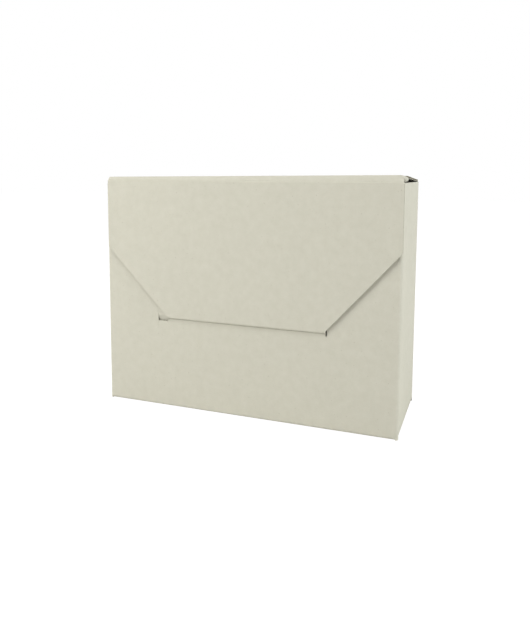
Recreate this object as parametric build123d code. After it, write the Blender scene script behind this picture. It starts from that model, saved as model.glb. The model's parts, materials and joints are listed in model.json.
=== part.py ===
from build123d import *
import os
from math import acos, atan2, cos, degrees, radians, sin, sqrt, tan

# A folded corrugated archive box that stands on its long narrow face. X runs along the
# width, the broad front faces -Y, Z is up, and the origin is under the middle of the box.
# All sizes are in millimetres.

# Outside sizes of the four walls, and the board they are cut from. Every fold of the board
# keeps a small radius on its inside.
box_width = 340.0
box_depth = 120.0
wall_height = 259.5
board = 2.0
fold_inside = 1.0

# The lid hinges on the rear wall. It bows up behind its front crease, more on its right,
# and leaves that crease at an angle to the flap.
lid_clearance = 0.5
lid_inset = 2.5
lid_rise_left = 3.3
lid_rise_right = 7.2
lid_lean = 25.0
closure_shift = 1.5

# The front flap hangs outside the front panel. Heights are measured down from its crease.
flap_gap = 0.8
flap_inset = 1.5
flap_height = 154.0
flap_shoulder_left = 77.5
flap_shoulder_right = 71.4
flap_foot_width = 186.0
flap_corner_radius = 2.5
flap_corner_cut = 5.0

# The tongue at the foot of the flap, and the slot that takes it. The slot runs on to the
# left as a window, whose strip of board hangs pushed in, and has a slit at each end.
tongue_inset = 1.0
tongue_reach = 14.0
tongue_lift = 6.0
tongue_corner = 6.0
slot_side_gap = 0.6
slot_below = 0.3
slot_above = 9.5
window_length = 12.3
window_height = 6.3
window_drop = 2.8
strip_height = 5.2
strip_lean = 28.0
left_slit_width = 0.4
left_slit_above = 5.7
left_slit_below = 11.7
right_slit_width = 1.4
right_slit_above = 4.5
right_slit_below = 2.3

# The ears of the lid stand inside the end panels, next to the front panel.
ear_length = 24.0
ear_drop = 20.0
ear_straight = 10.0
ear_gap = 0.7
ear_side_gap = 1.4
ear_taper = 3.0
ear_corner = 4.0

# The glued joint of the walls, at the rear left corner.
joint_width = 32.0
joint_end_gap = 9.0
joint_taper = 8.0
joint_edge_gap = 1.0

# The base: two wide flaps that meet on a stepped seam, with end flaps glued over them.
seam_step = 12.0
seam_slope = 14.0
seam_kerf = 0.6
end_flap_length = 50.0
end_flap_taper = 18.0
glue_tab_length = 84.0
glue_tab_depth = 30.0
crease_kerf = 0.6
base_edge_gap = 1.0

# Folds turn through a right angle. One that works as a hinge is parted half-way round.
right_angle = 90.0
half_turn = 180.0
mitre = right_angle / 2

# Planes, widths and radii that follow from the sizes above.
half_width = box_width / 2
lid_width = box_width - 2 * lid_inset
flap_width = box_width - 2 * flap_inset
tongue_width = flap_foot_width - 2 * tongue_inset
fold_radius = board + fold_inside
closure_stand_off = flap_gap + board
flap_face = -(box_depth + closure_stand_off) / 2
front_face = flap_face + closure_stand_off
rear_face = front_face + box_depth
middle = (front_face + rear_face) / 2
end_crease = half_width - fold_radius
lid_fold_radius = board + lid_clearance
lid_fold = Vector(rear_face - lid_fold_radius, wall_height)
hinge_z = wall_height + lid_fold_radius
crease_z = wall_height + lid_clearance
foot_z = crease_z - flap_height
tongue_fold = Vector(flap_face + fold_radius, foot_z)
tongue_turn = right_angle + tongue_lift
tongue_under = foot_z - fold_radius
slot_left = closure_shift - tongue_width / 2 - slot_side_gap
slot_right = closure_shift + tongue_width / 2 + slot_side_gap
slot_bottom = tongue_under - slot_below
window_left = slot_left - window_length
window_sill = slot_bottom - window_drop
window_head = window_sill + window_height


def block(x_range, y_range, z_range):
    """A box between two values on each axis."""
    size = [high - low for low, high in (x_range, y_range, z_range)]
    centre = [(high + low) / 2 for low, high in (x_range, y_range, z_range)]
    return Pos(*centre) * Box(*size)


def sheet(plane, points, thickness):
    """A flat panel: an outline in a plane, given its thickness along the plane's normal."""
    return extrude(plane * make_face(Polyline(points, close=True)), thickness)


def bend(plane, centre, outer_radius, start_angle, length, arc=right_angle):
    """A bent strip of board: a part of a ring in a plane, drawn out along its normal."""
    cx, cy = centre
    ring = [
        CenterArc(centre, outer_radius, start_angle, arc),
        CenterArc(centre, outer_radius - board, start_angle, arc),
    ]
    for angle in (radians(start_angle), radians(start_angle + arc)):
        inner = outer_radius - board
        ring.append(
            Line(
                (cx + inner * cos(angle), cy + inner * sin(angle)),
                (cx + outer_radius * cos(angle), cy + outer_radius * sin(angle)),
            )
        )
    return extrude(plane * make_face(Wire(ring)), length)


def across(x):
    """A plane at x whose own axes are Y and Z, and whose normal is +X."""
    return Plane((x, 0, 0), x_dir=(0, 1, 0), z_dir=(1, 0, 0))


def along(y):
    """A plane at y whose own axes are X and Z, and whose normal is +Y."""
    return Plane((0, y, 0), x_dir=(-1, 0, 0), z_dir=(0, 1, 0))


def level(z):
    """A plane at z whose own axes are X and Y, and whose normal is +Z."""
    return Plane((0, 0, z), x_dir=(1, 0, 0), z_dir=(0, 0, 1))


def front_panel():
    """The broad front, with the slot that takes the tongue, its window and its two slits."""
    panel = block(
        (-end_crease, end_crease),
        (front_face, front_face + board),
        (fold_radius, wall_height),
    )
    through = (front_face - board, front_face + 2 * board)
    panel -= block((slot_left, slot_right), through, (slot_bottom, foot_z + slot_above))
    panel -= block((window_left, slot_left), through, (window_sill, window_head))
    slits = (
        (window_left, left_slit_width, left_slit_below, left_slit_above),
        (slot_right, right_slit_width, right_slit_below, right_slit_above),
    )
    for x, width, below, above in slits:
        slit = (x - width / 2, x + width / 2)
        panel -= block(slit, through, (slot_bottom - below, slot_bottom + above))
    return panel


def window_strip():
    """The board cut free in the window: it hangs from the window's head, pushed inwards."""
    left = window_left + left_slit_width / 2
    foot = window_head - strip_height
    lean = strip_height * tan(radians(strip_lean))
    outline = [
        (front_face, window_head),
        (front_face + board, window_head),
        (front_face + board + lean, foot),
        (front_face + lean, foot),
    ]
    return sheet(across(left), outline, slot_left - left)


def rear_panel():
    """The broad back. Its top edge bends over as far as the mitred crease of the lid."""
    panel = block(
        (joint_edge_gap - half_width, end_crease),
        (rear_face - board, rear_face),
        (fold_radius, wall_height),
    )
    left, right = lid_sides()
    centre = (lid_fold.X, lid_fold.Y)
    return panel + bend(across(left), centre, lid_fold_radius, 0, right - left, mitre)


def end_panel(side):
    """A narrow end with the upright folds that join it to the front and the back."""
    glued = side < 0
    rear = rear_face - (board if glued else 0)
    outside = side * half_width
    panel = block(
        sorted((outside, outside - side * board)),
        (front_face + fold_radius, rear - fold_radius),
        (board + fold_radius, wall_height),
    )
    folds = ((front_face + fold_radius, 270 if side > 0 else 180),
             (rear - fold_radius, 0 if side > 0 else 90))
    for y, start in folds:
        panel += bend(level(0), (side * end_crease, y), fold_radius, start, wall_height)
    return panel


def glue_flap():
    """The joint of the walls: a strip of the left end, glued inside the back."""
    low = joint_end_gap
    high = wall_height - joint_end_gap
    inner = joint_width - end_crease
    outline = [
        (end_crease, low),
        (-inner, low + joint_taper),
        (-inner, high - joint_taper),
        (end_crease, high),
    ]
    return sheet(along(rear_face - 2 * board), outline, board)


def seam(offset):
    """The stepped seam of the base, from left to right, moved along Y by an offset."""
    return [
        (-end_crease, middle + seam_step + offset),
        (-seam_slope, middle + seam_step + offset),
        (seam_slope, middle - seam_step + offset),
        (end_crease, middle - seam_step + offset),
    ]


def wide_base_flap(side):
    """A wide flap of the base with its fold: side -1 is under the front, 1 the back."""
    wall = front_face if side < 0 else rear_face
    crease = wall - side * fold_radius
    outline = seam(side * seam_kerf / 2) + [(end_crease, crease), (-end_crease, crease)]
    start = 180 if side < 0 else 270
    fold = bend(across(-end_crease), (crease, fold_radius), fold_radius, start, 2 * end_crease)
    return sheet(level(0), outline, board) + fold


def turned(points, side):
    """Points for the right end, or the same half a turn round for the left end."""
    return [(side * x, middle + side * (y - middle)) for x, y in points]


def end_base_flap(side):
    """An end flap of the base with its fold. It ends at a crease that runs at 45 degrees."""
    near = front_face + fold_radius + base_edge_gap
    far = rear_face - board - fold_radius - base_edge_gap
    tip = end_crease - end_flap_length
    outline = [
        (end_crease, near),
        (tip, near + end_flap_length),
        (tip, far - end_flap_taper),
        (end_crease, far),
    ]
    flap = sheet(level(board), turned(outline, side), board)
    rear = rear_face - fold_radius - (board if side < 0 else 0)
    length = rear - front_face - fold_radius
    centre = (-side * end_crease, board + fold_radius)
    start = 180 if side > 0 else 270
    return flap + bend(along(front_face + fold_radius), centre, fold_radius, start, length)


def base_glue_tab(side):
    """The outer part of an end flap, past its slanting crease, glued on the wide flap."""
    near = front_face + fold_radius + base_edge_gap
    shift = crease_kerf * sqrt(2)
    tip = end_crease - end_flap_length
    outline = [
        (end_crease - shift, near),
        (end_crease - glue_tab_length, near),
        (end_crease - glue_tab_length + base_edge_gap, near + glue_tab_depth),
        (tip - shift, near + end_flap_length),
    ]
    return sheet(level(board), turned(outline, side), board)


def lid_sides():
    """Left and right edge of the lid."""
    return closure_shift - lid_width / 2, closure_shift + lid_width / 2


def bow_radius(rise):
    """Outer radius of the lid's bow behind its front crease, for its rise above it."""
    return rise / (1 - sin(radians(lid_lean)))


def bow_centre(rise):
    """Centre of the bow, as Y and Z: its outer face starts at the flap's crease."""
    lean = radians(lid_lean)
    return Vector(flap_face, crease_z) + Vector(cos(lean), -sin(lean)) * bow_radius(rise)


def lid_normal(rise):
    """Direction, as Y and Z, that the flat part of the lid faces: it touches both bends."""
    reach = lid_fold - bow_centre(rise)
    aslant = acos((bow_radius(rise) - lid_fold_radius) / reach.length)
    angle = atan2(reach.Y, reach.X) + aslant
    return Vector(cos(angle), sin(angle))


def arc_about(centre, start, end):
    """The shorter arc from one point to another, about their common centre."""
    halfway = (start - centre).normalized() + (end - centre).normalized()
    middle = centre + halfway.normalized() * (start - centre).length
    return ThreePointArc(start, middle, end)


def lid_section(x, rise):
    """Cross-section of the lid at x: half of the rear fold, a flat board and the front bow."""
    normal = lid_normal(rise)
    parting = Vector(cos(radians(mitre)), sin(radians(mitre)))
    bow, radius, inner_fold = bow_centre(rise), bow_radius(rise), lid_fold_radius - board
    inner = radius - board
    drop = bow.Y - crease_z
    crease = Vector(flap_face, crease_z)
    inner_crease = Vector(bow.X - sqrt(inner ** 2 - drop ** 2), crease_z)
    outline = [
        arc_about(bow, crease, bow + normal * radius),
        Line(bow + normal * radius, lid_fold + normal * lid_fold_radius),
        arc_about(
            lid_fold, lid_fold + normal * lid_fold_radius, lid_fold + parting * lid_fold_radius
        ),
        Line(lid_fold + parting * lid_fold_radius, lid_fold + parting * inner_fold),
        arc_about(lid_fold, lid_fold + parting * inner_fold, lid_fold + normal * inner_fold),
        Line(lid_fold + normal * inner_fold, bow + normal * inner),
        arc_about(bow, bow + normal * inner, inner_crease),
        Line(inner_crease, crease),
    ]
    return across(x) * make_face(Wire(outline))


def lid_panel():
    """The lid: one board, a little twisted, from its rear fold to the flap's crease."""
    left, right = lid_sides()
    ends = [lid_section(left, lid_rise_left), lid_section(right, lid_rise_right)]
    return loft(ends, ruled=True)


def rise_at(x):
    """Rise of the lid's bow at x, between its left and right edge."""
    left, right = lid_sides()
    share = (x - left) / (right - left)
    return lid_rise_left + share * (lid_rise_right - lid_rise_left)


def underside(x, y):
    """Height of the lid's underside: in its bow, or on the flat board behind that."""
    rise = rise_at(x)
    normal, bow, inner = lid_normal(rise), bow_centre(rise), bow_radius(rise) - board
    if y < bow.X + normal.X * inner:
        return bow.Y + sqrt(inner ** 2 - (y - bow.X) ** 2)
    inner_fold = lid_fold_radius - board
    return lid_fold.Y + (inner_fold - normal.X * (y - lid_fold.X)) / normal.Y


def ear_hinge(side):
    """Front end of an ear's crease, and the Y at which the ear ends."""
    x = side * (half_width - 2 * board - ear_side_gap)
    front = front_face + board + ear_gap
    return x, front, front + ear_length


def lid_ear(side):
    """A small ear folded down from the lid's side, inside the end panel."""
    x, front, rear = ear_hinge(side)
    outer = x + side * board
    edge = min(x, outer)
    top_front = min(underside(x, front), underside(outer, front)) - ear_gap
    top_rear = min(underside(x, rear), underside(outer, rear)) - ear_gap
    outline = [
        (front, top_front),
        (rear, top_rear),
        (rear, top_rear - ear_straight),
        (rear - ear_taper, top_rear - ear_drop),
        (front + ear_taper, top_front - ear_drop),
    ]
    ear = sheet(across(edge), outline, board)
    low_corners = ear.edges().filter_by(Axis.X).sort_by(Axis.Z)[:2]
    return fillet(low_corners, ear_corner)


def foot_fold(start, arc):
    """A part of the fold at the flap's foot, from an angle round the fold's centre."""
    left = closure_shift - tongue_width / 2
    centre = (tongue_fold.X, tongue_fold.Y)
    return bend(across(left), centre, fold_radius, start, tongue_width, arc)


def front_flap():
    """The front flap: straight sides to its shoulders, slanting in to half of its foot fold."""
    half = flap_width / 2
    top = lid_width / 2
    outline = [
        (top, crease_z),
        (half, crease_z - flap_corner_cut),
        (half, crease_z - flap_shoulder_right),
        (flap_foot_width / 2, foot_z),
        (-flap_foot_width / 2, foot_z),
        (-half, crease_z - flap_shoulder_left),
        (-half, crease_z - flap_corner_cut),
        (-top, crease_z),
    ]
    mirrored = [(-x - closure_shift, z) for x, z in outline]
    flap = sheet(along(flap_face), mirrored, board)
    shoulders = flap.edges().filter_by(Axis.Y).sort_by(Axis.Z)[2:4]
    return fillet(shoulders, flap_corner_radius) + foot_fold(half_turn, tongue_turn / 2)


def tuck_tongue():
    """The tongue: the other half of the foot fold and a short plate that enters the slot."""
    length = tongue_reach - fold_radius
    plate = Box(tongue_width, length, board, align=(Align.CENTER, Align.MIN, Align.MIN))
    ends = [e for e in plate.edges().filter_by(Axis.Z) if e.center().Y > length / 2]
    plate = Pos(closure_shift, 0, -fold_radius) * fillet(ends, tongue_corner)
    plate = Pos(0, tongue_fold.X, tongue_fold.Y) * Rot(tongue_lift, 0, 0) * plate
    return plate + foot_fold(half_turn + tongue_turn / 2, tongue_turn / 2)


def tongue_hinge():
    """Y and Z of the corner that the outer faces of the flap and the tongue would meet in."""
    angle = radians(half_turn + tongue_turn / 2)
    stand_off = fold_radius / cos(radians(tongue_turn / 2))
    return tongue_fold + Vector(cos(angle), sin(angle)) * stand_off


pieces = {
    "front_panel": front_panel(),
    "window_strip": window_strip(),
    "rear_panel": rear_panel(),
    "left_end_panel": end_panel(-1),
    "right_end_panel": end_panel(1),
    "glue_flap": glue_flap(),
    "front_base_flap": wide_base_flap(-1),
    "rear_base_flap": wide_base_flap(1),
    "left_base_flap": end_base_flap(-1),
    "right_base_flap": end_base_flap(1),
    "left_base_glue_tab": base_glue_tab(-1),
    "right_base_glue_tab": base_glue_tab(1),
    "lid_panel": lid_panel(),
    "left_lid_ear": lid_ear(-1),
    "right_lid_ear": lid_ear(1),
    "front_flap": front_flap(),
    "tuck_tongue": tuck_tongue(),
}

os.makedirs("parts", exist_ok=True)
for name, piece in pieces.items():
    export_step(piece, "parts/" + name + ".step")

# Places of the creases that turn, and the slant of the two that lie along the lid's sides.
print("lid crease", round(rear_face, 3), round(hinge_z, 3))
print("flap crease", round(flap_face, 3), round(crease_z, 3))
print("tongue crease", round(tongue_hinge().X, 3), round(tongue_hinge().Y, 3))
for side in (-1, 1):
    x, front, rear = ear_hinge(side)
    top = underside(x, front) - ear_gap
    fall = underside(x, front) - underside(x, rear)
    slant = degrees(atan2(fall, rear - front))
    print("ear crease", round(x, 3), round(front, 3), round(top, 3), "slant", round(slant, 3))
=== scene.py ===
import json
from math import acos, asin, atan2, cos, exp, pi, radians, sin, sqrt, tau

import bmesh
import bpy
from mathutils import Matrix, Vector


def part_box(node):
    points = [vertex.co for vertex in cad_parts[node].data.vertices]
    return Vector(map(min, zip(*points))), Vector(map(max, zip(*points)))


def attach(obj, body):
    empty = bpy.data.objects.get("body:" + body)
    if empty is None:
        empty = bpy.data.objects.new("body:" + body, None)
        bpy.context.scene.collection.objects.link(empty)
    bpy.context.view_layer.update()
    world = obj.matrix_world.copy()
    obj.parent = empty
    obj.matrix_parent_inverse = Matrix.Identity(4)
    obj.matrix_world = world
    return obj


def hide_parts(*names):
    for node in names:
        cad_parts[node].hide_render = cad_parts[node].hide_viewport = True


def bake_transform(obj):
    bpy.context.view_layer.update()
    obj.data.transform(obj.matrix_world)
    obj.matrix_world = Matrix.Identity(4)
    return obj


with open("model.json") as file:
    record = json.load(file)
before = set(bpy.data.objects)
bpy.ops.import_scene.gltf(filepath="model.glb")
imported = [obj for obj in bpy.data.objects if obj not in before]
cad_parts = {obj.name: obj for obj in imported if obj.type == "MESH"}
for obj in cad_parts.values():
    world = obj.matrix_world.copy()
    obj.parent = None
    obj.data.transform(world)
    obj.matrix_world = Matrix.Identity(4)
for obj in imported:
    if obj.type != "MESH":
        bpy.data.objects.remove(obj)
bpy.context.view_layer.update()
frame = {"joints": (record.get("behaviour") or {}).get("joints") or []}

mm = 0.001


# The four walls and the glue flap: one strip of single-wall corrugated board, folded at four
# upright creases. The board is a smooth paper liner on each face, with a fluted paper glued
# between them at its crests. The walls' flutes stand upright, and their cut ends show at the top.
front_low, front_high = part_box("front_panel")
rear_low, rear_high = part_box("rear_panel")
glue_low, glue_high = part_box("glue_flap")
board = front_high.y - front_low.y
half_board = board / 2

# The papers, how deep the last flute lies inside a cut side, and the flutes' pitch and fineness.
liner = 0.25 * mm
fluted_paper = 0.2 * mm
cut_depth = 0.8 * mm
flute_pitch = 3.4 * mm
flute_steps = 10

# A fold keeps a small radius on its inside. Radius and length of a right-angled one, mid-board.
fold_inside = 1.0 * mm
fold_radius = fold_inside + half_board
fold_run = fold_radius * pi / 2
fold_steps = 8

# The strip of walls, from the glue flap on round the box: each panel's length and where it starts.
front_middle = front_low.y + half_board
rear_middle = rear_high.y - half_board
glue_middle = glue_low.y + half_board
wall_runs = {
    "glue_flap": glue_high.x - glue_low.x,
    "left_end_panel": glue_middle - front_middle - 2 * fold_radius,
    "front_panel": front_high.x - front_low.x,
    "right_end_panel": rear_middle - front_middle - 2 * fold_radius,
    "rear_panel": front_high.x - rear_low.x,
}
wall_starts = {}
strip_length = 0.0
for wall_name, wall_run in wall_runs.items():
    wall_starts[wall_name] = strip_length
    strip_length += wall_run + fold_run


def node(tree, kind, inputs=(), **settings):
    """Adds a node with its settings. Each input takes a value, or a link from another's output."""
    made = tree.nodes.new(kind)
    for name, value in settings.items():
        setattr(made, name, value)
    for socket, value in dict(inputs).items():
        if isinstance(value, bpy.types.NodeSocket):
            tree.links.new(value, made.inputs[socket])
        else:
            made.inputs[socket].default_value = value
    return made


def linear(code):
    """An sRGB hex colour as the linear colour that a shader takes."""
    parts = [int(code[i:i + 2], 16) / 255 for i in (1, 3, 5)]
    return [c / 12.92 if c <= 0.04045 else ((c + 0.055) / 1.055) ** 2.4 for c in parts] + [1.0]


def uncoated_liner():
    """Uncoated greyish cream liner from recycled pulp: dead matt, cloudy, with short fibres."""
    made = bpy.data.materials.new("uncoated_liner_paper")
    made.use_nodes = True
    tree = made.node_tree
    tree.nodes.clear()
    blank = node(tree, "ShaderNodeUVMap", uv_map="blank").outputs["UV"]

    # Pulp settles unevenly, in small clouds over wide drifts.
    cloud_size = 9 * mm
    drift_size = 70 * mm
    clouds = node(tree, "ShaderNodeTexNoise", {
        "Vector": blank, "Scale": 1 / cloud_size, "Detail": 4.0, "Roughness": 0.62})
    drifts = node(tree, "ShaderNodeTexNoise", {
        "Vector": blank, "Scale": 1 / drift_size, "Detail": 2.0, "Roughness": 0.5})

    # Fibres lie across the flutes, four or five times as long as wide. Real ones are 0.03 mm wide,
    # and these are drawn wider to show. Specks are the few highest peaks of a coarser grain.
    fibre_width = 0.7 * mm
    width_to_length = 0.22
    speck_grain = 1.6 * mm
    combed = node(tree, "ShaderNodeMapping", {"Vector": blank, "Scale": (width_to_length, 1.0, 1.0)})
    fibres = node(tree, "ShaderNodeTexNoise", {
        "Vector": combed.outputs["Vector"], "Scale": 1 / fibre_width, "Detail": 3.0, "Roughness": 0.7})
    specks = node(tree, "ShaderNodeTexNoise", {
        "Vector": blank, "Scale": 1 / speck_grain, "Detail": 1.0, "Roughness": 0.4})

    pale, deep = linear("#d4d1c1"), linear("#cfccbb")
    tone = node(tree, "ShaderNodeMapRange", {
        "Value": clouds.outputs["Fac"], "From Min": 0.3, "From Max": 0.7})
    paper = node(tree, "ShaderNodeMix", {
        "Factor": tone.outputs["Result"], "A": deep, "B": pale}, data_type="RGBA")
    shade = node(tree, "ShaderNodeMapRange", {
        "Value": drifts.outputs["Fac"], "From Min": 0.3, "From Max": 0.7,
        "To Min": 0.992, "To Max": 1.008})
    grain = node(tree, "ShaderNodeMapRange", {
        "Value": fibres.outputs["Fac"], "From Min": 0.3, "From Max": 0.7,
        "To Min": 0.985, "To Max": 1.015})
    both = node(tree, "ShaderNodeMath", {
        0: shade.outputs["Result"], 1: grain.outputs["Result"]}, operation="MULTIPLY")
    toned = node(tree, "ShaderNodeVectorMath", {
        0: paper.outputs["Result"], "Scale": both.outputs["Value"]}, operation="SCALE")
    dirt = node(tree, "ShaderNodeMapRange", {
        "Value": specks.outputs["Fac"], "From Min": 0.74, "From Max": 0.8})
    colour = node(tree, "ShaderNodeMix", {
        "Factor": dirt.outputs["Result"], "A": toned.outputs["Vector"],
        "B": linear("#b3ad99")}, data_type="RGBA")

    # The liner sinks a little between the crests that it is glued to, which washboards the face. The
    # board warps slightly over its drifts, and its fibres give it a fine tooth.
    washboard_depth = 0.012 * mm
    warp_depth = 0.8 * mm
    tooth_depth = 0.015 * mm
    across = node(tree, "ShaderNodeSeparateXYZ", {"Vector": blank})
    phase = node(tree, "ShaderNodeMath", {
        0: across.outputs["X"], 1: tau / flute_pitch}, operation="MULTIPLY")
    ridge = node(tree, "ShaderNodeMath", {0: phase.outputs["Value"]}, operation="SINE")
    washboard = node(tree, "ShaderNodeBump", {
        "Height": ridge.outputs["Value"], "Distance": washboard_depth, "Strength": 1.0})
    warp = node(tree, "ShaderNodeBump", {
        "Height": drifts.outputs["Fac"], "Distance": warp_depth, "Strength": 1.0,
        "Normal": washboard.outputs["Normal"]})
    tooth = node(tree, "ShaderNodeBump", {
        "Height": fibres.outputs["Fac"], "Distance": tooth_depth, "Strength": 1.0,
        "Normal": warp.outputs["Normal"]})
    shader = node(tree, "ShaderNodeBsdfPrincipled", {
        "Base Color": colour.outputs["Result"], "Normal": tooth.outputs["Normal"],
        "Roughness": 0.92, "IOR": 1.47, "Specular IOR Level": 0.3})
    node(tree, "ShaderNodeOutputMaterial", {"Surface": shader.outputs["BSDF"]})
    return made


def fluting():
    """Recycled fluting paper: greyer and coarser than the liner, and darkened as painted shade of the
    hollow flutes.
    """
    made = bpy.data.materials.new("recycled_fluting_with_painted_shade")
    made.use_nodes = True
    tree = made.node_tree
    tree.nodes.clear()
    pulp_size = 2 * mm
    tooth_depth = 0.05 * mm
    place = node(tree, "ShaderNodeTexCoord").outputs["Object"]
    pulp = node(tree, "ShaderNodeTexNoise", {
        "Vector": place, "Scale": 1 / pulp_size, "Detail": 4.0, "Roughness": 0.7})
    # Both browns are darker than the paper's own colour: painted shade for the hollow flutes seen at
    # cut sides.
    colour = node(tree, "ShaderNodeMix", {
        "Factor": pulp.outputs["Fac"], "A": linear("#7b7562"), "B": linear("#a09985")},
        data_type="RGBA")
    tooth = node(tree, "ShaderNodeBump", {
        "Height": pulp.outputs["Fac"], "Distance": tooth_depth, "Strength": 1.0})
    shader = node(tree, "ShaderNodeBsdfPrincipled", {
        "Base Color": colour.outputs["Result"], "Normal": tooth.outputs["Normal"],
        "Roughness": 0.95, "IOR": 1.47, "Specular IOR Level": 0.2})
    node(tree, "ShaderNodeOutputMaterial", {"Surface": shader.outputs["BSDF"]})
    return made


def flute_tree():
    """Waves a line of paper along the panel's edge, then draws it out along the flutes."""
    tree = bpy.data.node_groups.new("fluted_paper", "GeometryNodeTree")
    sockets = [("Edge", "Geometry"), ("Pitch", "Float"), ("Depth", "Float"), ("Steps", "Float"),
               ("Paper", "Material")]
    for name, kind in sockets:
        tree.interface.new_socket(name, in_out="INPUT", socket_type="NodeSocket" + kind)
    tree.interface.new_socket("Flutes", in_out="OUTPUT", socket_type="NodeSocketGeometry")
    given = node(tree, "NodeGroupInput").outputs
    line = node(tree, "GeometryNodeMeshToCurve", {"Mesh": given["Edge"]})
    step = node(tree, "ShaderNodeMath", {0: given["Pitch"], 1: given["Steps"]}, operation="DIVIDE")
    even = node(tree, "GeometryNodeResampleCurve", {
        "Curve": line.outputs["Curve"], "Length": step.outputs["Value"]}, mode="LENGTH")
    run = node(tree, "GeometryNodeInputNamedAttribute", {"Name": "run"}, data_type="FLOAT")
    face = node(tree, "GeometryNodeInputNamedAttribute", {"Name": "face"}, data_type="FLOAT_VECTOR")
    reach = node(tree, "GeometryNodeInputNamedAttribute", {"Name": "reach"}, data_type="FLOAT_VECTOR")
    turns = node(tree, "ShaderNodeMath", {
        0: run.outputs["Attribute"], 1: given["Pitch"]}, operation="DIVIDE")
    phase = node(tree, "ShaderNodeMath", {0: turns.outputs["Value"], 1: tau}, operation="MULTIPLY")
    wave = node(tree, "ShaderNodeMath", {0: phase.outputs["Value"]}, operation="SINE")
    height = node(tree, "ShaderNodeMath", {
        0: wave.outputs["Value"], 1: given["Depth"]}, operation="MULTIPLY")
    offset = node(tree, "ShaderNodeVectorMath", {
        0: face.outputs["Attribute"], "Scale": height.outputs["Value"]}, operation="SCALE")
    waved = node(tree, "GeometryNodeSetPosition", {
        "Geometry": even.outputs["Curve"], "Offset": offset.outputs["Vector"]})
    edge = node(tree, "GeometryNodeCurveToMesh", {"Curve": waved.outputs["Geometry"]})
    drawn = node(tree, "GeometryNodeExtrudeMesh", {
        "Mesh": edge.outputs["Mesh"], "Offset Scale": 0.0}, mode="EDGES")
    grown = node(tree, "GeometryNodeSetPosition", {
        "Geometry": drawn.outputs["Mesh"], "Selection": drawn.outputs["Top"],
        "Offset": reach.outputs["Attribute"]})
    real = node(tree, "GeometryNodeRealizeInstances", {"Geometry": grown.outputs["Geometry"]})
    paper = node(tree, "GeometryNodeSetMaterial", {
        "Geometry": real.outputs["Geometry"], "Material": given["Paper"]})
    node(tree, "NodeGroupOutput", {"Flutes": paper.outputs["Geometry"]})
    return tree


liner_paper = uncoated_liner()
shaded_fluting_paper = fluting()
papers = [liner_paper, shaded_fluting_paper]
flutes_tree = flute_tree()


def wall(u, v, w):
    """Folds up the strip of walls: u runs round it, v is the height, w is outwards from mid-board."""
    place, heading = Vector((glue_high.x, glue_middle, 0)), Vector((-1, 0, 0))
    for run in wall_runs.values():
        outward = Vector((heading.y, -heading.x, 0))
        turn = min(max(u - run, 0) / fold_radius, pi / 2)
        if turn < pi / 2:
            radial = outward * cos(turn) + heading * sin(turn)
            centre = place + heading * min(u, run) - outward * fold_radius
            return centre + radial * (fold_radius + w) + Vector((0, 0, v))
        place += heading * (run + fold_radius) - outward * fold_radius
        heading = -outward
        u -= run + fold_run


def even_steps(start, end, count):
    """Evenly spaced values from start to end, both included."""
    return [start + (end - start) * i / count for i in range(count + 1)]


# Points nearer to each other than this are one point. A mesh holds them a little less exactly.
same_decimals = 7
same_point = 1e-7
same_in_mesh = 1e-6


def cut_blank(outline, lines_u=(), lines_v=(), openings=()):
    """A panel of the flat blank: an outline in u and v, divided along lines, less its openings.

    An opening is given by its lowest and highest u, and then its lowest and highest v.
    """
    flat = bmesh.new()
    flat.faces.new([flat.verts.new((u, v, 0)) for u, v in outline])
    lines = [((u, 0, 0), (1, 0, 0)) for u in lines_u] + [((0, v, 0), (0, 1, 0)) for v in lines_v]
    for point, normal in lines:
        everything = flat.verts[:] + flat.edges[:] + flat.faces[:]
        bmesh.ops.bisect_plane(
            flat, geom=everything, dist=same_point, plane_co=point, plane_no=normal)
    holes = []
    for cell in flat.faces:
        middle = cell.calc_center_median()
        if any(u0 < middle.x < u1 and v0 < middle.y < v1 for u0, u1, v0, v1 in openings):
            holes.append(cell)
    bmesh.ops.delete(flat, geom=holes, context="FACES")
    return flat


def add_ply(shape, flat, place, outer, inner, paper=liner_paper):
    """Adds a closed layer of the board: the flat cells at two depths, joined round their rim."""
    # The inner paper is cut from another place on its roll, so its clouds lie elsewhere.
    other_place = Vector((0.37, 0.61))
    blank = shape.loops.layers.uv.get("blank") or shape.loops.layers.uv.new("blank")
    sides = {}
    for depth in (outer, inner):
        sides[depth] = {v: shape.verts.new(place(v.co.x, v.co.y, depth)) for v in flat.verts}
    made = []
    for cell in flat.faces:
        for depth in (outer, inner):
            shift = other_place if depth == inner else Vector((0, 0))
            face = shape.faces.new([sides[depth][v] for v in cell.verts])
            for loop, flat_vert in zip(face.loops, cell.verts):
                loop[blank].uv = flat_vert.co.xy + shift
            made.append(face)
    for edge in flat.edges:
        if edge.is_boundary:
            first, last = edge.verts
            ring = [(outer, first), (outer, last), (inner, last), (inner, first)]
            face = shape.faces.new([sides[depth][v] for depth, v in ring])
            for loop, (depth, v) in zip(face.loops, ring):
                loop[blank].uv = v.co.xy + Vector((depth, depth))
            made.append(face)
    for face in made:
        face.material_index = papers.index(paper)
    bmesh.ops.recalc_face_normals(shape, faces=made)


def stations(outline):
    """Where flutes start and end: u with the lowest and highest v, at each corner of an outline."""
    found = []
    for u in sorted({round(point[0], same_decimals) for point in outline}):
        heights = []
        for (u0, v0), (u1, v1) in zip(outline, outline[1:] + outline[:1]):
            if abs(u1 - u0) < same_point:
                heights += [v0, v1] if abs(u - u0) < same_point else []
            elif min(u0, u1) - same_point < u < max(u0, u1) + same_point:
                heights.append(v0 + (v1 - v0) * (u - u0) / (u1 - u0))
        found.append((u, min(heights), max(heights)))
    return found


def blunt(found, least=1.0 * mm):
    """Stations whose pointed ends are cut back to where the flutes have some length."""
    for end, beside in ((0, 1), (-1, -2)):
        length = found[end][2] - found[end][1]
        if length < least:
            share = (least - length) / (found[beside][2] - found[beside][1] - length)
            found[end] = tuple(a + (b - a) * share for a, b in zip(found[end], found[beside]))
    return found


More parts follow.
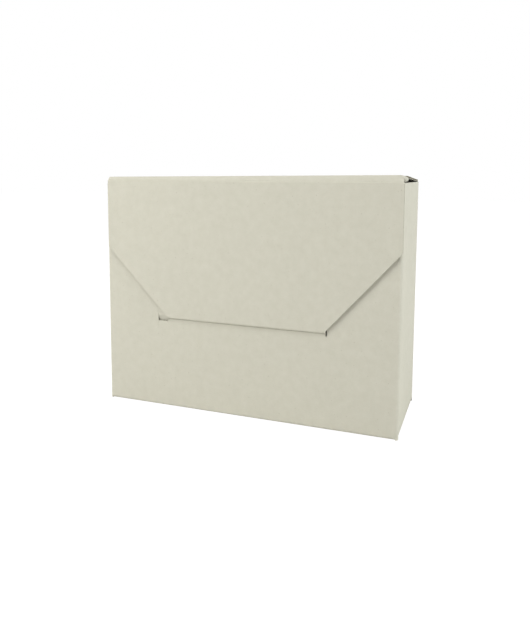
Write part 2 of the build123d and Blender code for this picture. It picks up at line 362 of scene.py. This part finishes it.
def add_flutes(shape, found, place):
    """Adds the fluted paper between stations, as a wavy sheet with the paper's thickness."""
    # Each station carries its run along the blank, the way the board faces, and the flutes' reach.
    mesh = bpy.data.meshes.new("flutes")
    lows = [place(u, low, 0) for u, low, high in found]
    mesh.from_pydata(lows, [(i, i + 1) for i in range(len(lows) - 1)], [])
    for name, kind in (("run", "FLOAT"), ("face", "FLOAT_VECTOR"), ("reach", "FLOAT_VECTOR")):
        mesh.attributes.new(name, kind, "POINT")
    for i, (u, low, high) in enumerate(found):
        mesh.attributes["run"].data[i].value = u
        mesh.attributes["face"].data[i].vector = (place(u, low, mm) - lows[i]).normalized()
        mesh.attributes["reach"].data[i].vector = place(u, high, 0) - lows[i]
    line = bpy.data.objects.new("flutes", mesh)
    bpy.context.scene.collection.objects.link(line)
    fluted = line.modifiers.new("flutes", "NODES")
    fluted.node_group = flutes_tree
    wave_depth = half_board - liner - fluted_paper / 2
    values = {"Pitch": flute_pitch, "Depth": wave_depth, "Steps": float(flute_steps),
              "Paper": shaded_fluting_paper}
    for socket in flutes_tree.interface.items_tree:
        if socket.in_out == "INPUT" and socket.name in values:
            fluted[socket.identifier] = values[socket.name]
    thick = line.modifiers.new("paper", "SOLIDIFY")
    thick.thickness = fluted_paper
    thick.offset = 0
    evaluated = line.evaluated_get(bpy.context.evaluated_depsgraph_get())
    sheet = bpy.data.meshes.new_from_object(evaluated)
    known = len(shape.faces)
    shape.from_mesh(sheet)
    shape.faces.ensure_lookup_table()
    for face in shape.faces[known:]:
        face.material_index = papers.index(shaded_fluting_paper)
    bpy.data.objects.remove(line)
    bpy.data.meshes.remove(mesh)
    bpy.data.meshes.remove(sheet)


# Edges that turn more than this stay sharp. The steps of a round fold turn less.
sharp_angle = radians(20)


def new_piece(name, shape, body=None, node_name=None):
    """Finishes a piece of board, and lets it ride on its body and stand for its node."""
    mesh = bpy.data.meshes.new(name)
    shape.to_mesh(mesh)
    shape.free()
    for paper in papers:
        mesh.materials.append(paper)
    mesh.shade_smooth()
    mesh.set_sharp_from_angle(angle=sharp_angle)
    piece = bpy.data.objects.new(name, mesh)
    bpy.context.scene.collection.objects.link(piece)
    if body:
        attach(piece, body)
    if node_name:
        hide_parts(node_name)
    return piece


def add_board(shape, outline, place, lines_u=(), lines_v=(), openings=(), fluted=None, joined=(),
              depth=cut_depth, paper=shaded_fluting_paper):
    """Adds corrugated board: two liners, flutes, and the last flute's wall inside each cut side.

    Where the panel goes on into a fold, at the lines named in joined, its side isn't cut. Flutes
    fill the outline, or else the blocks of stations named in fluted.
    """
    flat = cut_blank(outline, lines_u, lines_v, openings)
    add_ply(shape, flat, place, half_board, half_board - liner)
    add_ply(shape, flat, place, liner - half_board, -half_board)
    rims = [edge for edge in flat.edges if edge.is_boundary]
    for edge in rims:
        first, last = sorted((v.co for v in edge.verts), key=lambda co: co.y)
        goes_on = any(abs(first.x - u) < same_in_mesh for u in joined)
        if abs(first.x - last.x) < same_point and not goes_on:
            side = 1 if edge.link_faces[0].calc_center_median().x > first.x else -1
            near, far = sorted((first.x + side * depth, first.x + side * (depth + fluted_paper)))
            rim = [(near, first.y), (far, first.y), (far, last.y), (near, last.y)]
            add_ply(shape, cut_blank(rim), place, half_board - liner, liner - half_board, paper=paper)
    flat.free()
    for block in fluted or [blunt(stations(outline))]:
        add_flutes(shape, block, place)


# The front wall and its slot, which is cut with a steel rule and placed from the tongue that goes
# through it. The slot runs on to the left as a window, and has a short slit at each end.
tongue_low, tongue_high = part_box("tuck_tongue")
slot_side_gap = 0.6 * mm
slot_below = 0.3 * mm
slot_height = 12.8 * mm
window_run = 12.3 * mm
window_drop = 2.8 * mm
window_height = 6.3 * mm
half_left_slit = 0.08 * mm
left_slit_below = 11.7 * mm
left_slit_above = 5.7 * mm
half_right_slit = 0.7 * mm
right_slit_below = 2.3 * mm
right_slit_above = 4.5 * mm
slot_low = tongue_low.z - slot_below
slot_high = slot_low + slot_height
window_sill = slot_low - window_drop
window_head = window_sill + window_height
left_slit_low, left_slit_high = slot_low - left_slit_below, slot_low + left_slit_above
right_slit_low, right_slit_high = slot_low - right_slit_below, slot_low + right_slit_above
front_start = wall_starts["front_panel"]
front_end = front_start + wall_runs["front_panel"]
slot_start = front_start + tongue_low.x - slot_side_gap - front_low.x
slot_end = front_start + tongue_high.x + slot_side_gap - front_low.x
window_start = slot_start - window_run
slot = [
    (window_start - half_left_slit, window_start + half_left_slit, left_slit_low, left_slit_high),
    (window_start + half_left_slit, slot_start, window_sill, window_head),
    (slot_start, slot_end - half_right_slit, slot_low, slot_high),
    (slot_end - half_right_slit, slot_end, right_slit_low, slot_high),
    (slot_end, slot_end + half_right_slit, right_slit_low, right_slit_high),
]
bottom, top = front_low.z, front_high.z
blocks = [
    [(front_start, bottom, top), (slot[0][0], bottom, top)],
    [(slot[-1][1], bottom, top), (front_end, bottom, top)],
]
for u0, u1, v0, v1 in slot:
    blocks += [[(u0, bottom, v0), (u1, bottom, v0)], [(u0, v1, top), (u1, v1, top)]]
shape = bmesh.new()
add_board(
    shape,
    [(front_start, bottom), (front_end, bottom), (front_end, top), (front_start, top)],
    wall,
    lines_u=sorted({edge for opening in slot for edge in opening[:2]}),
    lines_v=sorted({edge for opening in slot for edge in opening[2:]}),
    openings=slot,
    fluted=blocks,
    joined=(front_start, front_end),
)
new_piece("front_wall", shape, "carton", "front_panel")

# The strip of board cut free in the window, which hangs from its head, pushed inwards. It is one
# piece with the front wall on the real box, and has sprung back part of the way.
strip_low, strip_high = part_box("window_strip")
strip_gap = 0.1 * mm
strip_drop = window_height - strip_gap
kept_lean = 0.6
strip_lean = (strip_high.y - strip_low.y - board) / (strip_high.z - strip_low.z) * kept_lean


def pushed_in(u, v, w):
    """Places the strip: v is down from the window's head."""
    return wall(u, window_head - v, w - v * strip_lean)


strip_start = window_start - half_left_slit / 2
shape = bmesh.new()
add_board(
    shape,
    [(strip_start, 0), (slot_start, 0), (slot_start, strip_drop), (strip_start, strip_drop)],
    pushed_in,
)
new_piece("window_strip_board", shape, "carton", "window_strip")

# The end walls, each with the two upright folds that join it to the front and the back. Each fold
# is pressed into the board before it is bent. Between the folds the wall stops short of the floor,
# where an end flap of the base folds in over the wide ones.
for end in ("left_end_panel", "right_end_panel"):
    start = wall_starts[end]
    stop = start + wall_runs[end]
    flat_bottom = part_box(end)[0].z + board + fold_inside + board
    fold_a, fold_b = start - fold_run, stop + fold_run
    outline = [(fold_a, 0), (start, 0), (start, flat_bottom), (stop, flat_bottom), (stop, 0),
               (fold_b, 0), (fold_b, top), (fold_a, top)]
    turns = even_steps(fold_a, start, fold_steps) + even_steps(stop, fold_b, fold_steps)
    blocks = [
        [(u, 0, top) for u in even_steps(fold_a, start, fold_steps)],
        [(start, flat_bottom, top), (stop, flat_bottom, top)],
        [(u, 0, top) for u in even_steps(stop, fold_b, fold_steps)],
    ]
    shape = bmesh.new()
    add_board(shape, outline, wall, lines_u=turns[1:-1], fluted=blocks,
              joined=(fold_a, start, stop, fold_b))
    new_piece(end.replace("_panel", "_wall"), shape, "carton", end)

# The back wall, the last panel of the strip. Its top edge carries the lid, and its free side is a
# cut one, which lies over the glue flap at the left corner.
rear_start = wall_starts["rear_panel"]
rear_end = rear_start + wall_runs["rear_panel"]
shape = bmesh.new()
add_board(
    shape,
    [(rear_start, bottom), (rear_end, bottom), (rear_end, top), (rear_start, top)],
    wall,
    joined=(rear_start,),
)
new_piece("rear_wall", shape, "carton", "rear_panel")

# The glue flap, the first panel of the strip. Its ends are slanted so that it goes in easily, and
# it is glued to the inside of the back wall, which closes the ring of walls.
glue_taper = 8.0 * mm
glue_end = wall_runs["glue_flap"]
shape = bmesh.new()
add_board(
    shape,
    [(0, glue_low.z + glue_taper), (glue_end, glue_low.z), (glue_end, glue_high.z),
     (0, glue_high.z - glue_taper)],
    wall,
    joined=(glue_end,),
)
new_piece("glued_joint", shape, "carton", "glue_flap")


# The base: two wide flaps that meet on a stepped seam. Each comes down off its wall, round a
# fold where the board is crushed solid, and runs in level on the floor of the box.
def folded(centre, outward, onward, along, turn=pi / 2):
    """Places a panel that goes down a wall, round a fold about a centre and on past it.

    Outward is out of the wall, onward is down it, and along is the way that the fold runs.
    """
    def place(u, v, w):
        angle = min(max(v, 0) / fold_radius, turn)
        radial = outward * cos(angle) + onward * sin(angle)
        tangent = onward * cos(angle) - outward * sin(angle)
        return centre + along * u + radial * (fold_radius + w) + tangent * (v - angle * fold_radius)
    return place


def add_fold(shape, start, end, place, run, steps=fold_steps):
    """Adds a crushed fold, solid through the board's thickness."""
    strip = [(start, 0), (end, 0), (end, run), (start, run)]
    flat = cut_blank(strip, lines_v=even_steps(0, run, steps)[1:-1])
    add_ply(shape, flat, place, half_board, -half_board)


x_axis, y_axis, z_axis = (Vector(axis) for axis in ((1, 0, 0), (0, 1, 0), (0, 0, 1)))
middle = (front_low.y + rear_high.y) / 2
seam_step = 12.0 * mm
seam_slope = 14.0 * mm
seam_kerf = 0.3 * mm
base_half = front_high.x
wide_flaps = ((-1, "front_base_flap", front_low.y), (1, "rear_base_flap", rear_high.y))
for side, name, wall_face in wide_flaps:
    centre = Vector((0, wall_face - side * (board + fold_inside), board + fold_inside))
    place = folded(centre, y_axis * side, -z_axis, x_axis)
    seam = [(-base_half, seam_step), (-seam_slope, seam_step), (seam_slope, -seam_step),
            (base_half, -seam_step)]
    inner = [(x, fold_run + side * (centre.y - middle - y) - seam_kerf) for x, y in seam]
    shape = bmesh.new()
    add_fold(shape, -base_half, base_half, place, fold_run)
    add_board(shape, [(-base_half, fold_run)] + inner + [(base_half, fold_run)], place)
    new_piece(name + "_board", shape, "carton", name)

# The end flaps of the base, on top of the wide ones. Each ends at a slanting crease, and the tab
# past the crease is glued down on a wide flap, so that the base locks as the box is opened out.
edge_gap = 1.0 * mm
end_flap_run = 50.0 * mm
end_flap_taper = 18.0 * mm
tab_run = 84.0 * mm
tab_depth = 30.0 * mm
crease_kerf = 0.6 * mm
crease_gap = crease_kerf * sqrt(2)
near = front_low.y + board + fold_inside + edge_gap - middle
far = rear_high.y - board - fold_inside - board - edge_gap - middle
for side, end in ((-1, "left"), (1, "right")):
    centre = Vector((side * base_half, middle, 2 * board + fold_inside))
    place = folded(centre, x_axis * side, -z_axis, y_axis * side)

    # At the left the glue flap lies inside the back wall, and the fold stops short of it.
    glued_board = board if side < 0 else 0
    rear_fold = rear_high.y - board - fold_inside - glued_board
    front_fold = front_low.y + board + fold_inside
    fold_from, fold_to = sorted((side * (front_fold - middle), side * (rear_fold - middle)))
    shape = bmesh.new()
    add_fold(shape, fold_from, fold_to, place, fold_run)
    outline = [(near, fold_run), (near + end_flap_run, fold_run + end_flap_run),
               (far - end_flap_taper, fold_run + end_flap_run), (far, fold_run)]
    add_board(shape, outline, place)
    new_piece(end + "_base_flap_board", shape, "carton", end + "_base_flap")
    shape = bmesh.new()
    crease = fold_run + crease_gap
    outline = [(near, crease), (near, fold_run + tab_run),
               (near + tab_depth, fold_run + tab_run - edge_gap),
               (near + end_flap_run, crease + end_flap_run)]
    add_board(shape, outline, place)
    new_piece(end + "_base_tab_board", shape, "carton", end + "_base_glue_tab")


# The lid: one panel with its flutes from front to back, creased to the back wall. It bows up
# behind its front crease, more on the right, because the board springs where the flap pulls it.
joints = {joint["name"]: joint for joint in frame["joints"]}
flap_crease = Vector(joints["flap_fold"]["pos_m"])
lid_crease = Vector(joints["lid_hinge"]["pos_m"])
lid_low, lid_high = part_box("lid_panel")

# How high the bow rises over the front crease at each end, and how far off upright it starts.
lid_rise_left = 3.3 * mm
lid_rise_right = 7.2 * mm
lid_lean = radians(25)
lid_clearance = 0.5 * mm
lid_fold_outer = board + lid_clearance
lid_fold = Vector((lid_crease.y - lid_fold_outer, lid_crease.z - lid_fold_outer))
bow_run = 10.0 * mm
flat_run = lid_fold.x - flap_crease.y - bow_run
rear_run = 3.0 * mm
crease_share = 0.3
open_flute = 3.0 * mm
halvings = 40


def lid_section(rise, t, w):
    """Y and Z on the lid's cross-section: t 0 to 1 is its bow, to 2 the flat, to 3 the rear fold."""
    radius = rise / (1 - sin(lid_lean))
    bow = Vector((flap_crease.y, flap_crease.z)) + Vector((cos(lid_lean), -sin(lid_lean))) * radius
    reach = lid_fold - bow
    facing = atan2(reach.y, reach.x) + acos((radius - lid_fold_outer) / reach.length)
    depth = w - half_board
    flat_start = bow + Vector((cos(facing), sin(facing))) * (radius + depth)
    flat_end = lid_fold + Vector((cos(facing), sin(facing))) * (lid_fold_outer + depth)
    if t <= 1:
        start = pi - asin((flap_crease.z - bow.y) / (radius + depth))
        angle = start + (facing - start) * t
        return bow + Vector((cos(angle), sin(angle))) * (radius + depth)
    if t <= 2:
        return flat_start.lerp(flat_end, t - 1)
    angle = facing * (3 - t)
    return lid_fold + Vector((cos(angle), sin(angle))) * (lid_fold_outer + depth)


def lid(u, v, w):
    """Places the lid: u is across it, v runs back from the flap's crease, w is up from mid-board."""
    if v <= bow_run:
        t = v / bow_run
    elif v <= bow_run + flat_run:
        t = 1 + (v - bow_run) / flat_run
    else:
        t = 2 + (v - bow_run - flat_run) / rear_run
    share = (u - lid_low.x) / (lid_high.x - lid_low.x)
    y, z = lid_section(lid_rise_left, t, w).lerp(lid_section(lid_rise_right, t, w), share)
    return Vector((u, y, z))


def run_to(u, y):
    """How far back from the flap's crease the lid reaches a given Y, on a line at u."""
    low, high = 0.0, bow_run + flat_run
    for _ in range(halvings):
        half = (low + high) / 2
        low, high = (half, high) if lid(u, half, 0).y < y else (low, half)
    return low


# Columns and rows divide the lid finely enough for its twist and its bow. Beside each ear it is cut
# back to where it starts to fold down.
lid_columns = 12
bow_rows = 10
lid_rows = 6
rear_rows = 24
left, right = lid_low.x, lid_high.x
lid_end = bow_run + flat_run
bow_start = crease_share * bow_run
flat_columns = even_steps(left, right, lid_columns)[1:-1]
ear_boxes = {name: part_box(name + "_lid_ear") for name in ("left", "right")}
fold_inset = 2.2 * mm
fold_left = ear_boxes["left"][0].x + fold_inset
fold_right = ear_boxes["right"][1].x - fold_inset
left_notch = [run_to(fold_left, ear_boxes["left"][end].y) for end in (0, 1)]
right_notch = [run_to(fold_right, ear_boxes["right"][end].y) for end in (0, 1)]
left_notch[0] = max(left_notch[0], bow_run)
columns = sorted(flat_columns + [fold_left, fold_right])
notches = [(left, fold_left, *left_notch), (fold_right, right, *right_notch)]
shape = bmesh.new()
bow_outline = [(left, bow_start), (right, bow_start), (right, bow_run), (left, bow_run)]
bow_lines = even_steps(bow_start, bow_run, bow_rows)[1:-1] + [right_notch[0]]
add_ply(shape, cut_blank(bow_outline, columns, bow_lines, notches), lid, half_board, -half_board)
add_board(
    shape,
    [(left, bow_run), (right, bow_run), (right, lid_end), (left, lid_end)],
    lid,
    lines_u=columns,
    lines_v=even_steps(bow_run, lid_end, lid_rows)[1:-1] + left_notch + right_notch[1:],
    openings=notches,
    fluted=[
        [(fold_left, bow_run, lid_end), (fold_right, bow_run, lid_end)],
        [(left, left_notch[1], lid_end), (fold_left, left_notch[1], lid_end)],
        [(fold_right, right_notch[1], lid_end), (right, right_notch[1], lid_end)],
    ],
    joined=(fold_left, fold_right),
    depth=open_flute,
)
new_piece("lid_board", shape, "lid", "lid_panel")

# The lid's rear crease, where the board is crushed along a line before it is folded. It is the
# lid's hinge.
shape = bmesh.new()
rear_lines = even_steps(lid_end, lid_end + rear_run, rear_rows)
strip = [(left, lid_end), (right, lid_end), (right, rear_lines[-1]), (left, rear_lines[-1])]
add_ply(shape, cut_blank(strip, flat_columns, rear_lines[1:-1]), lid, half_board, -half_board)
rear_crease = new_piece("lid_crease", shape)
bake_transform(rear_crease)


# The front flap hangs outside the front wall. Its sides run straight down to the shoulders and
# then slant in to the foot, where the board is creased and turns in as the tongue.
def rounded(points, radius, corners, steps=6):
    """An outline with some of its corners rounded to a radius."""
    result = []
    for i, point in enumerate(points):
        if i not in corners:
            result.append(point)
            continue
        here = Vector(point)
        before = (Vector(points[i - 1]) - here).normalized()
        after = (Vector(points[(i + 1) % len(points)]) - here).normalized()
        half = before.angle(after) / 2
        centre = here + (before + after).normalized() * radius / sin(half)
        start = here + before * radius / abs(sin(half) / cos(half)) - centre
        end = here + after * radius / abs(sin(half) / cos(half)) - centre
        for share in even_steps(0, 1, steps):
            result.append(tuple(centre + start.slerp(end, share) * radius))
    return result


flap_low, flap_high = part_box("front_flap")
foot_outer = board + fold_inside
foot_centre = Vector((0, flap_crease.y + foot_outer, tongue_low.z + foot_outer))
foot_turn = radians(96)
foot_run = fold_radius * foot_turn
flap = folded(foot_centre, -y_axis, -z_axis, x_axis, turn=foot_turn)
flap_drop = flap_crease.z - foot_centre.z
flap_top = -flap_drop
shoulder_left = 77.5 * mm
shoulder_right = 69.4 * mm
corner_cut = 5.0 * mm
foot_left = 93.0 * mm
foot_right = 92.2 * mm
crushed_run = 1.2 * mm
pressed_depth = 0.1 * mm
shoulder_radius = 2.5 * mm
shoulders = (3, 6)
closure_middle = (left + right) / 2
crease_left = left + (flap_low.x - left) * crushed_run / corner_cut
crease_right = right + (flap_high.x - right) * crushed_run / corner_cut
outline = [
    (crease_left, flap_top + crushed_run),
    (crease_right, flap_top + crushed_run),
    (flap_high.x, flap_top + corner_cut),
    (flap_high.x, flap_top + shoulder_right),
    (closure_middle + foot_right, 0),
    (closure_middle - foot_left, 0),
    (flap_low.x, flap_top + shoulder_left),
    (flap_low.x, flap_top + corner_cut),
]
shape = bmesh.new()
add_board(shape, rounded(outline, shoulder_radius, shoulders), flap, depth=pressed_depth,
          paper=liner_paper)
new_piece("closing_flap", shape, "flap", "front_flap")

# The crease between the lid and the flap, a sharp line where the board is crushed. The rule that
# scored it left a shallow dent in the outer face.
score_depth = 0.35 * mm
score_width = 0.5 * mm


def across_crease(u, v, w):
    """Places the lid's first strip, v above 0, and the flap's first strip, v below it."""
    if w > 0:
        w -= score_depth * exp(-(v / score_width) ** 2)
    return flap(u, flap_top - v, w) if v < 0 else lid(u, v, w)


flap_side_rows = 6
lid_side_rows = 8
strip = [(crease_left, -crushed_run), (crease_right, -crushed_run), (right, 0), (right, bow_start),
         (left, bow_start), (left, 0)]
rows = even_steps(-crushed_run, 0, flap_side_rows) + even_steps(0, bow_start, lid_side_rows)[1:]
shape = bmesh.new()
add_ply(shape, cut_blank(strip, flat_columns, rows[1:-1]), across_crease, half_board, -half_board)
front_crease = new_piece("flap_crease", shape)
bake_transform(front_crease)

# The foot's crease, crushed like the others, between the flap and the tongue.
foot_steps = 24
tongue_left, tongue_right = tongue_low.x, tongue_high.x
shape = bmesh.new()
add_fold(shape, tongue_left, tongue_right, flap, foot_run, steps=foot_steps)
foot_crease = new_piece("foot_crease", shape)
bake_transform(foot_crease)

# The tongue: a short plate with rounded corners, so that it finds its slot. The front wall's slot
# holds it tilted up a little.
tongue_run = 11.0 * mm
tongue_corner = 6.0 * mm
free_corners = (2, 3)
plate = [(tongue_left, foot_run), (tongue_right, foot_run), (tongue_right, foot_run + tongue_run),
         (tongue_left, foot_run + tongue_run)]
shape = bmesh.new()
add_board(shape, rounded(plate, tongue_corner, free_corners), flap)
new_piece("tongue_board", shape, "tongue", "tuck_tongue")


# The ears: small tabs at the front of the lid's sides, folded down inside the end walls. Their
# flutes run from front to back, as the lid's do. The right fold bulges out above the end wall.
ear_straight = 10.0 * mm
ear_drop = 20.0 * mm
ear_taper = 3.0 * mm
ear_corner = 4.0 * mm
ear_fold_steps = 20
ear_fold_rows = 6

# Each fold curves from the lid to a little way down its ear. The curve's two middle points are
# pulled outwards and upwards from its ends.
fold_pulls = {
    "left": ((1.4 * mm, 0), (0.4 * mm, 1.2 * mm)),
    "right": ((3.8 * mm, 0.2 * mm), (6.2 * mm, -0.6 * mm)),
}
fold_drop = {"left": 1.4 * mm, "right": 2.1 * mm}


def lid_ear(side, name):
    """Makes an ear and its fold. Side is -1 at the left of the lid and 1 at the right."""
    joint = joints[name + "_ear_fold"]
    pivot = Vector(joint["pos_m"])
    crease_line = Vector(joint["axis"]) * (1 if joint["axis"][1] > 0 else -1)
    slope = crease_line.z / crease_line.y
    ear_low, ear_high = ear_boxes[name]
    ear_middle = (ear_low.x + ear_high.x) / 2
    fold_start = fold_left if side < 0 else fold_right

    def ear(u, v, w):
        """Places an ear: u is down from its crease, v runs back, w is outwards."""
        return Vector((ear_middle + side * w, pivot.y + v, pivot.z + slope * v - u))

    def ear_fold(u, v, w):
        """Places the fold: u is 0 at the lid and 1 at the ear, v runs back, w is outwards."""
        y = pivot.y + v
        start = lid(fold_start, run_to(fold_start, y), 0)
        end = ear(fold_drop[name], v, 0)
        pulled = [point + x_axis * side * out + z_axis * up
                  for point, (out, up) in zip((start, end), fold_pulls[name])]
        points = (start, *pulled, end)
        shares = ((1 - u) ** 3, 3 * (1 - u) ** 2 * u, 3 * (1 - u) * u ** 2, u ** 3)
        rates = (-3 * (1 - u) ** 2, 3 * (1 - u) * (1 - 3 * u), 3 * u * (2 - 3 * u), 3 * u ** 2)
        middle = sum((point * share for point, share in zip(points, shares)), Vector())
        heading = sum((point * rate for point, rate in zip(points, rates)), Vector())
        outward = Vector((-heading.z, 0, heading.x)).normalized() * side
        return Vector((middle.x, y, middle.z)) + outward * w

    ear_run = ear_high.y - ear_low.y
    crease = fold_drop[name]
    outline = [(crease, 0), (ear_straight, 0), (ear_drop, ear_taper), (ear_drop, ear_run - ear_taper),
               (ear_straight, ear_run), (crease, ear_run)]
    shape = bmesh.new()
    add_board(shape, rounded(outline, ear_corner, free_corners), ear, joined=(crease,))
    new_piece(name + "_ear_board", shape, name + "_ear", name + "_lid_ear")
    shape = bmesh.new()
    strip = [(0, 0), (1, 0), (1, ear_run), (0, ear_run)]
    lines_u = even_steps(0, 1, ear_fold_steps)[1:-1]
    lines_v = even_steps(0, ear_run, ear_fold_rows)[1:-1]
    add_ply(shape, cut_blank(strip, lines_u, lines_v), ear_fold, half_board, -half_board)
    ear_crease = new_piece(name + "_ear_crease", shape)
    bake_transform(ear_crease)


lid_ear(-1, "left")
lid_ear(1, "right")

# The camera, at the photograph's viewing angle, for a frame of 530 by 618. It stands to the right,
# looks down on the box a little, and is shifted to bring the box to its place in the frame.
camera_place = Vector((0.2467, -0.6563, 0.2672))
camera_turn = radians(20.27)
camera_pitch = radians(-5.79)
camera_roll = radians(0.328)
camera_data = bpy.data.cameras.new("camera")
camera_data.sensor_fit = "VERTICAL"
camera_data.sensor_height = 36.0
camera_data.lens = 35.29
camera_data.shift_y = -0.1188
camera = bpy.data.objects.new("camera", camera_data)
camera.matrix_world = (
    Matrix.Translation(camera_place)
    @ Matrix.Rotation(camera_turn, 4, "Z")
    @ Matrix.Rotation(pi / 2 + camera_pitch, 4, "X")
    @ Matrix.Rotation(camera_roll, 4, "Z")
)
bpy.context.scene.collection.objects.link(camera)
bpy.context.scene.camera = camera
bpy.context.scene.view_settings.view_transform = "Standard"


# The studio: square soft lamps. The key stands at the left in front, a large cooler one at the
# right, a third above the front, and one behind. White surroundings fill the shadows.
box_middle = (0, 0, 0.13)
surroundings = 0.33


def lamp(name, place, size, power, colour=(1, 1, 1)):
    """A square soft lamp that faces the middle of the box: its side in metres, its power in watts."""
    data = bpy.data.lights.new(name, "AREA")
    data.size = size
    data.energy = power
    data.color = colour
    made = bpy.data.objects.new(name, data)
    made.matrix_world = Matrix.Translation(place) @ (
        Vector(box_middle) - Vector(place)).to_track_quat("-Z", "Y").to_matrix().to_4x4()
    bpy.context.scene.collection.objects.link(made)


lamp("key", place=(-0.95, -1.0, 0.7), size=0.8, power=8.6)
lamp("right_fill", place=(1.9, -0.2, 0.6), size=1.0, power=19, colour=(0.94, 0.97, 1.0))
lamp("overhead", place=(-0.35, -0.75, 1.6), size=0.6, power=8.8)
lamp("back_fill", place=(-0.3, 1.6, 1.6), size=1.0, power=12)

# The surroundings look white, and light the box with a part of that.
world = bpy.data.worlds.new("studio")
bpy.context.scene.world = world
world.use_nodes = True
world.node_tree.nodes.clear()
rays = node(world.node_tree, "ShaderNodeLightPath").outputs
seen = node(world.node_tree, "ShaderNodeMath", {
    0: rays["Is Camera Ray"], 1: rays["Is Glossy Ray"]}, operation="MAXIMUM")
shown = node(world.node_tree, "ShaderNodeMath", {
    0: seen.outputs["Value"], 1: rays["Is Transmission Ray"]}, operation="MAXIMUM")
strength = node(world.node_tree, "ShaderNodeMapRange", {
    "Value": shown.outputs["Value"], "To Min": surroundings, "To Max": 1.0})
sky = node(world.node_tree, "ShaderNodeBackground", {
    "Color": (1, 1, 1, 1), "Strength": strength.outputs["Result"]})
node(world.node_tree, "ShaderNodeOutputWorld", {"Surface": sky.outputs["Background"]})

# The floor: pale and plain. The camera sees it nearly white, with the box's soft shadow on it. To
# every other ray it is a matt pale grey, which throws the lamps' light back up at the box.
floor_half = 6.0
floor_grey = 0.8
shadow_grey = 0.15
floor_glow = 0.955
floor_mesh = bpy.data.meshes.new("floor")
corners = [(-floor_half, -floor_half, 0), (floor_half, -floor_half, 0), (floor_half, floor_half, 0),
           (-floor_half, floor_half, 0)]
floor_mesh.from_pydata(corners, [], [(0, 1, 2, 3)])
floor = bpy.data.objects.new("floor", floor_mesh)
bpy.context.scene.collection.objects.link(floor)
pale = bpy.data.materials.new("pale_studio_floor")
pale.use_nodes = True
tree = pale.node_tree
tree.nodes.clear()
rays = node(tree, "ShaderNodeLightPath").outputs
matt = node(tree, "ShaderNodeBsdfDiffuse", {"Color": (floor_grey, floor_grey, floor_grey, 1)})
dim = node(tree, "ShaderNodeBsdfDiffuse", {"Color": (shadow_grey, shadow_grey, shadow_grey, 1)})
glow = node(tree, "ShaderNodeEmission", {"Color": (1, 1, 1, 1), "Strength": floor_glow})
bright = node(tree, "ShaderNodeAddShader", {0: dim.outputs["BSDF"], 1: glow.outputs["Emission"]})
mixed = node(tree, "ShaderNodeMixShader", {
    0: rays["Is Camera Ray"], 1: matt.outputs["BSDF"], 2: bright.outputs["Shader"]})
node(tree, "ShaderNodeOutputMaterial", {"Surface": mixed.outputs["Shader"]})
floor_mesh.materials.append(pale)
